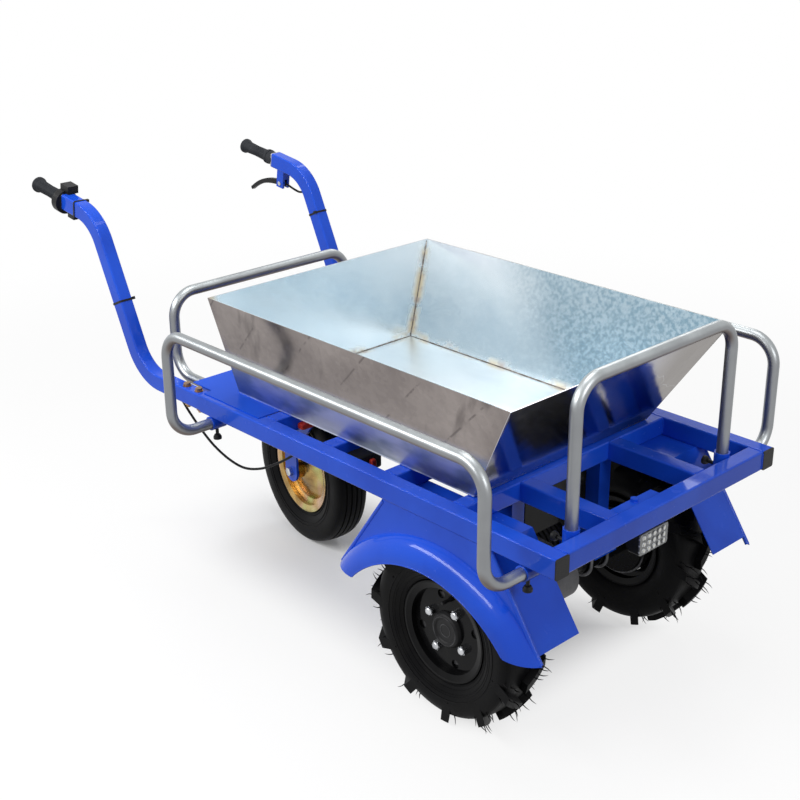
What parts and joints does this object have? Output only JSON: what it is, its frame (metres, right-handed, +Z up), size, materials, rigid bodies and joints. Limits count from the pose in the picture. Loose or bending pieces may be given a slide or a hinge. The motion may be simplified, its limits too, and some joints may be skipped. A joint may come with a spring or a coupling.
{
  "type": "concrete buggy",
  "caption": "Powered three-wheel concrete buggy: blue tube frame with an open galvanised hopper, removable guard hoops, lug-tyred drive wheels, a swivelling rear wheel and two handles.",
  "frame": {"origin": "on the ground, below the middle of the whole length and width", "axes": "+X forwards, towards the drive wheels; +Y to the operator's left; +Z up"},
  "size_m": [1.8084, 0.948, 0.9337],
  "materials": {
    "blue_paint": "gloss",
    "galvanised": "spangled zinc",
    "zinc_tube": "satin zinc",
    "gold_zinc": "yellow passivated",
    "tyre": "matte",
    "black_metal": "satin",
    "black_plastic": "matte",
    "grip_rubber": "matte",
    "steel": "bright",
    "bolt_zinc": "yellow passivated",
    "cast_case": "matte",
    "motor": "satin",
    "lens": "clear",
    "cable": "satin"
  },
  "bodies": {
    "chassis": {"right_side_rail": "blue_paint", "left_side_rail": "blue_paint", "end_beams": "blue_paint", "cross_members": "blue_paint", "bearers": "blue_paint", "rail_end_caps": "black_plastic", "deck_plate": "blue_paint", "handle_spigots": "blue_paint", "right_handle_tube": "blue_paint", "left_handle_tube": "blue_paint", "handle_bolts": "bolt_zinc", "cable_ties": "black_plastic", "grip_stubs": "steel", "throttle_housing": "black_plastic", "left_grip": "grip_rubber", "handle_switch": "black_plastic", "lever_bracket": "blue_paint", "lever_pivot": "steel", "brake_cable": "cable", "control_cable": "cable", "side_hoop_sockets": "blue_paint", "rear_hoop_sockets": "blue_paint", "front_hoop_sockets": "blue_paint", "thumb_screws": "black_plastic", "right_fender": "blue_paint", "left_fender": "blue_paint", "axle_legs": "blue_paint", "axle_housing": "black_metal", "gear_case": "cast_case", "drive_motor": "motor", "axle_clamps": "steel", "brake_backplates": "black_metal", "caster_head": "blue_paint", "battery_tray": "black_metal", "battery": "black_plastic", "controller": "black_plastic", "lamp_bracket": "blue_paint", "lamp_housing": "black_plastic", "lamp_lens": "lens"},
    "throttle": {"throttle_grip": "grip_rubber"},
    "lever": {"brake_lever": "black_plastic"},
    "right_guard": {"right_side_hoop": "zinc_tube"},
    "left_guard": {"left_side_hoop": "zinc_tube"},
    "rear_guard": {"rear_hoop": "zinc_tube"},
    "front_guard": {"front_hoop": "zinc_tube"},
    "tub": {"hopper": "galvanised"},
    "right_wheel": {"right_hub": "steel", "right_rim": "black_metal", "right_tyre": "tyre", "right_wheel_nuts": "steel", "right_hub_cap": "black_plastic"},
    "left_wheel": {"left_hub": "steel", "left_rim": "black_metal", "left_tyre": "tyre", "left_wheel_nuts": "steel", "left_hub_cap": "black_plastic"},
    "fork": {"caster_fork": "blue_paint", "caster_axle": "steel"},
    "rear_wheel": {"caster_rim": "gold_zinc", "caster_tyre": "tyre"}
  },
  "joints": [
    {"name": "right_wheel_spin", "type": "hinge", "parent": "chassis", "child": "right_wheel", "pos_m": [0.58224, -0.288, 0.214], "axis": [0, 1, 0], "continuous": true},
    {"name": "left_wheel_spin", "type": "hinge", "parent": "chassis", "child": "left_wheel", "pos_m": [0.58224, 0.288, 0.214], "axis": [0, 1, 0], "continuous": true},
    {"name": "caster_swivel", "type": "hinge", "parent": "chassis", "child": "fork", "pos_m": [-0.12876, 0, 0.48], "axis": [0, 0, 1], "continuous": true},
    {"name": "caster_spin", "type": "hinge", "parent": "fork", "child": "rear_wheel", "pos_m": [-0.24958, 0.01698, 0.204], "axis": [0.1392, 0.9903, 0], "continuous": true},
    {"name": "throttle_twist", "type": "hinge", "parent": "chassis", "child": "throttle", "pos_m": [-0.76048, -0.338, 0.88994], "axis": [-0.9903, 0, 0.1392], "range_deg": [0, 70], "stiffness_Nm_per_rad": 0.3},
    {"name": "brake_pull", "type": "hinge", "parent": "chassis", "child": "lever", "pos_m": [-0.7329, 0.338, 0.82749], "axis": [0, 1, 0], "range_deg": [0, 22], "stiffness_Nm_per_rad": 1.5},
    {"name": "hopper_lift", "type": "slide", "parent": "chassis", "child": "tub", "axis": [0, 0, 1], "range_m": [0, 0.3]},
    {"name": "right_guard_slide", "type": "slide", "parent": "chassis", "child": "right_guard", "axis": [0, -1, 0], "range_m": [0, 0.03]},
    {"name": "left_guard_slide", "type": "slide", "parent": "chassis", "child": "left_guard", "axis": [0, 1, 0], "range_m": [0, 0.03]},
    {"name": "rear_guard_slide", "type": "slide", "parent": "chassis", "child": "rear_guard", "axis": [-1, 0, 0], "range_m": [0, 0.06]},
    {"name": "front_guard_slide", "type": "slide", "parent": "chassis", "child": "front_guard", "axis": [0, 0, 1], "range_m": [0, 0.05]}
  ]
}
